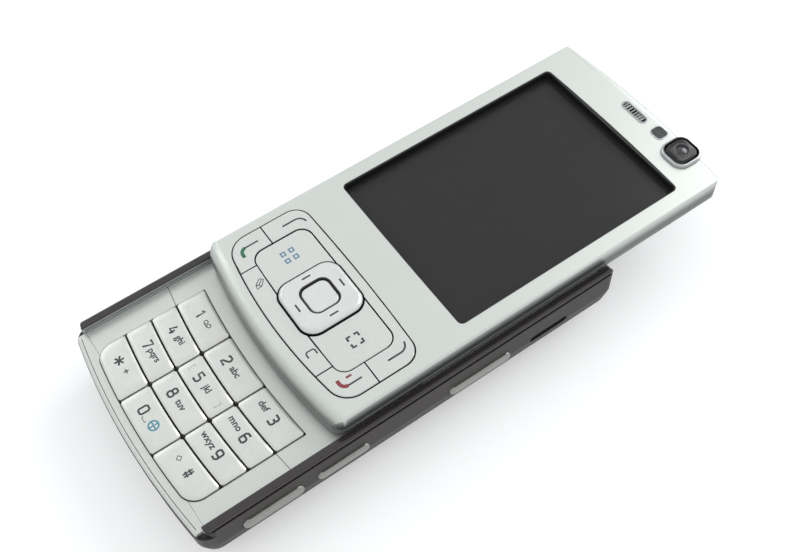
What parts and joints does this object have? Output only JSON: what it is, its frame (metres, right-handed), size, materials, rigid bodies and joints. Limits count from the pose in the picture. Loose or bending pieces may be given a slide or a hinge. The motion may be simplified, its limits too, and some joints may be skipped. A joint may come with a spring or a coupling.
{
  "type": "slider phone",
  "caption": "Slider mobile phone, slid open: silver slider with display and navigation keys over a dark base with number keys, side keys and sockets.",
  "frame": {"origin": "centre of the flat back face of the base", "axes": "+X to the phone's right, +Y towards the earpiece, +Z out of the screen; the phone lies on its back"},
  "size_m": [0.0534, 0.129, 0.0223],
  "materials": {
    "cover_silver": "satin",
    "slider_back_silver": "satin",
    "plate_silver": "satin",
    "cap_silver": "satin",
    "number_key_silver": "satin",
    "cluster_key_silver": "satin",
    "media_key_silver": "satin",
    "nav_silver": "satin",
    "side_key_silver": "satin",
    "rim_plum": "gloss",
    "housing_grey": "matt",
    "battery_cover_grey": "matt",
    "door_grey": "matt",
    "rail_steel": "satin",
    "carriage_steel": "satin",
    "screw_steel": "satin",
    "socket_metal": "satin",
    "socket_black": "matt",
    "mat_rubber": "matt",
    "web_rubber": "matt",
    "board_green": "satin",
    "battery_wrap": "satin",
    "window_glass": "gloss",
    "display_dark": "gloss",
    "lens_dark": "gloss",
    "lens_glass": "gloss",
    "flash_clear": "gloss",
    "sensor_grey": "gloss",
    "ring_chrome": "gloss",
    "grille_silver": "satin",
    "grille_dark": "matt",
    "lens_cover_grey": "satin"
  },
  "bodies": {
    "base": {"back_housing": "housing_grey", "base_frame": "rim_plum", "guide_rail_left": "rail_steel", "guide_rail_right": "rail_steel", "keypad_plate_upper": "plate_silver", "keypad_plate_lower": "plate_silver", "end_cap": "cap_silver", "keypad_mat": "mat_rubber", "main_board": "board_green", "battery": "battery_wrap", "camera_module": "lens_dark", "camera_lens": "lens_glass", "flash_window": "flash_clear", "speaker_grilles": "grille_dark", "audio_jack": "socket_black", "charger_socket": "socket_black", "usb_socket": "socket_metal", "base_screws": "screw_steel"},
    "slider": {"front_cover": "cover_silver", "slider_back": "slider_back_silver", "slide_carriage": "carriage_steel", "display_window": "window_glass", "display_module": "display_dark", "slider_board": "board_green", "earpiece_grille": "grille_silver", "light_sensor_window": "sensor_grey", "front_camera_ring": "ring_chrome", "front_camera_lens": "lens_dark"},
    "key_star": {"key_star": "number_key_silver"},
    "key_0": {"key_0": "number_key_silver"},
    "key_hash": {"key_hash": "number_key_silver"},
    "key_7": {"key_7": "number_key_silver"},
    "key_8": {"key_8": "number_key_silver"},
    "key_9": {"key_9": "number_key_silver"},
    "key_4": {"key_4": "number_key_silver"},
    "key_5": {"key_5": "number_key_silver"},
    "key_6": {"key_6": "number_key_silver"},
    "key_1": {"key_1": "number_key_silver"},
    "key_2": {"key_2": "number_key_silver"},
    "key_3": {"key_3": "number_key_silver"},
    "media_key_1": {"media_key_1": "media_key_silver"},
    "media_key_2": {"media_key_2": "media_key_silver"},
    "media_key_3": {"media_key_3": "media_key_silver"},
    "media_key_4": {"media_key_4": "media_key_silver"},
    "camera_key": {"camera_key": "side_key_silver"},
    "gallery_key": {"gallery_key": "side_key_silver"},
    "volume_rocker": {"volume_rocker": "side_key_silver"},
    "battery_cover": {"battery_cover": "battery_cover_grey"},
    "card_door": {"card_door": "door_grey"},
    "lens_cover": {"lens_cover": "lens_cover_grey"},
    "soft_key_strip": {"soft_key_strip": "cluster_key_silver"},
    "call_key": {"call_key": "cluster_key_silver"},
    "end_key": {"end_key": "cluster_key_silver"},
    "edit_clear_key": {"edit_clear_key": "cluster_key_silver"},
    "menu_key": {"menu_key": "cluster_key_silver"},
    "multimedia_key": {"multimedia_key": "cluster_key_silver"},
    "nav_web": {"nav_web": "web_rubber"},
    "nav_ring": {"nav_ring": "nav_silver"},
    "select_key": {"select_key": "nav_silver"},
    "power_key": {"power_key": "side_key_silver"}
  },
  "joints": [
    {"name": "slide", "type": "slide", "parent": "base", "child": "slider", "axis": [0, 1, 0], "range_m": [-0.047, 0]},
    {"name": "camera_key_press", "type": "slide", "parent": "base", "child": "camera_key", "axis": [-1, 0, 0], "range_m": [0, 0.00035], "stiffness_N_per_m": 1000},
    {"name": "gallery_key_press", "type": "slide", "parent": "base", "child": "gallery_key", "axis": [-1, 0, 0], "range_m": [0, 0.00035], "stiffness_N_per_m": 1000},
    {"name": "call_key_press", "type": "slide", "parent": "slider", "child": "call_key", "axis": [0, 0, -1], "range_m": [0, 0.0003], "stiffness_N_per_m": 1000},
    {"name": "end_key_press", "type": "slide", "parent": "slider", "child": "end_key", "axis": [0, 0, -1], "range_m": [0, 0.0003], "stiffness_N_per_m": 1000},
    {"name": "menu_key_press", "type": "slide", "parent": "slider", "child": "menu_key", "axis": [0, 0, -1], "range_m": [0, 0.0003], "stiffness_N_per_m": 1000},
    {"name": "multimedia_key_press", "type": "slide", "parent": "slider", "child": "multimedia_key", "axis": [0, 0, -1], "range_m": [0, 0.0003], "stiffness_N_per_m": 1000},
    {"name": "select_key_press", "type": "slide", "parent": "slider", "child": "select_key", "axis": [0, 0, -1], "range_m": [0, 0.0003], "stiffness_N_per_m": 1000},
    {"name": "power_key_press", "type": "slide", "parent": "slider", "child": "power_key", "axis": [0, -1, 0], "range_m": [0, 0.0003], "stiffness_N_per_m": 1000},
    {"name": "volume_rocker_rock", "type": "hinge", "parent": "base", "child": "volume_rocker", "pos_m": [0.025, 0.01405, 0.00995], "axis": [0, 0, 1], "range_deg": [-1.8, 1.8], "stiffness_Nm_per_rad": 0.2},
    {"name": "soft_key_strip_rock", "type": "hinge", "parent": "slider", "child": "soft_key_strip", "pos_m": [0, -0.0056, 0.0192], "axis": [0, 1, 0], "range_deg": [-0.8, 0.8], "stiffness_Nm_per_rad": 0.2},
    {"name": "edit_clear_key_rock", "type": "hinge", "parent": "slider", "child": "edit_clear_key", "pos_m": [0, -0.0155, 0.0192], "axis": [0, 1, 0], "range_deg": [-1.2, 1.2], "stiffness_Nm_per_rad": 0.2},
    {"name": "nav_tilt_up_down", "type": "hinge", "parent": "slider", "child": "nav_web", "pos_m": [0, -0.00485, 0.01887], "axis": [1, 0, 0], "range_deg": [-2.5, 2.5], "stiffness_Nm_per_rad": 0.2},
    {"name": "nav_tilt_left_right", "type": "hinge", "parent": "nav_web", "child": "nav_ring", "pos_m": [0, -0.00485, 0.0192], "axis": [0, 1, 0], "range_deg": [-2.5, 2.5], "stiffness_Nm_per_rad": 0.2},
    {"name": "battery_cover_lift", "type": "hinge", "parent": "base", "child": "battery_cover", "pos_m": [0, 0.0145, 0], "axis": [1, 0, 0], "range_deg": [0, 25]},
    {"name": "card_door_swing", "type": "hinge", "parent": "base", "child": "card_door", "pos_m": [-0.0265, -0.0015, 0.01035], "axis": [0, 0, -1], "range_deg": [0, 90]},
    {"name": "lens_cover_slide", "type": "slide", "parent": "base", "child": "lens_cover", "axis": [0, -1, 0], "range_m": [0, 0.011]},
    {"name": "key_star_press", "type": "slide", "parent": "base", "child": "key_star", "axis": [0, 0, -1], "range_m": [0, 0.00035], "stiffness_N_per_m": 1000},
    {"name": "key_0_press", "type": "slide", "parent": "base", "child": "key_0", "axis": [0, 0, -1], "range_m": [0, 0.00035], "stiffness_N_per_m": 1000},
    {"name": "key_hash_press", "type": "slide", "parent": "base", "child": "key_hash", "axis": [0, 0, -1], "range_m": [0, 0.00035], "stiffness_N_per_m": 1000},
    {"name": "key_7_press", "type": "slide", "parent": "base", "child": "key_7", "axis": [0, 0, -1], "range_m": [0, 0.00035], "stiffness_N_per_m": 1000},
    {"name": "key_8_press", "type": "slide", "parent": "base", "child": "key_8", "axis": [0, 0, -1], "range_m": [0, 0.00035], "stiffness_N_per_m": 1000},
    {"name": "key_9_press", "type": "slide", "parent": "base", "child": "key_9", "axis": [0, 0, -1], "range_m": [0, 0.00035], "stiffness_N_per_m": 1000},
    {"name": "key_4_press", "type": "slide", "parent": "base", "child": "key_4", "axis": [0, 0, -1], "range_m": [0, 0.00035], "stiffness_N_per_m": 1000},
    {"name": "key_5_press", "type": "slide", "parent": "base", "child": "key_5", "axis": [0, 0, -1], "range_m": [0, 0.00035], "stiffness_N_per_m": 1000},
    {"name": "key_6_press", "type": "slide", "parent": "base", "child": "key_6", "axis": [0, 0, -1], "range_m": [0, 0.00035], "stiffness_N_per_m": 1000},
    {"name": "key_1_press", "type": "slide", "parent": "base", "child": "key_1", "axis": [0, 0, -1], "range_m": [0, 0.00035], "stiffness_N_per_m": 1000},
    {"name": "key_2_press", "type": "slide", "parent": "base", "child": "key_2", "axis": [0, 0, -1], "range_m": [0, 0.00035], "stiffness_N_per_m": 1000},
    {"name": "key_3_press", "type": "slide", "parent": "base", "child": "key_3", "axis": [0, 0, -1], "range_m": [0, 0.00035], "stiffness_N_per_m": 1000},
    {"name": "media_key_1_press", "type": "slide", "parent": "base", "child": "media_key_1", "axis": [0, 0, -1], "range_m": [0, 0.00035], "stiffness_N_per_m": 1000},
    {"name": "media_key_2_press", "type": "slide", "parent": "base", "child": "media_key_2", "axis": [0, 0, -1], "range_m": [0, 0.00035], "stiffness_N_per_m": 1000},
    {"name": "media_key_3_press", "type": "slide", "parent": "base", "child": "media_key_3", "axis": [0, 0, -1], "range_m": [0, 0.00035], "stiffness_N_per_m": 1000},
    {"name": "media_key_4_press", "type": "slide", "parent": "base", "child": "media_key_4", "axis": [0, 0, -1], "range_m": [0, 0.00035], "stiffness_N_per_m": 1000}
  ]
}
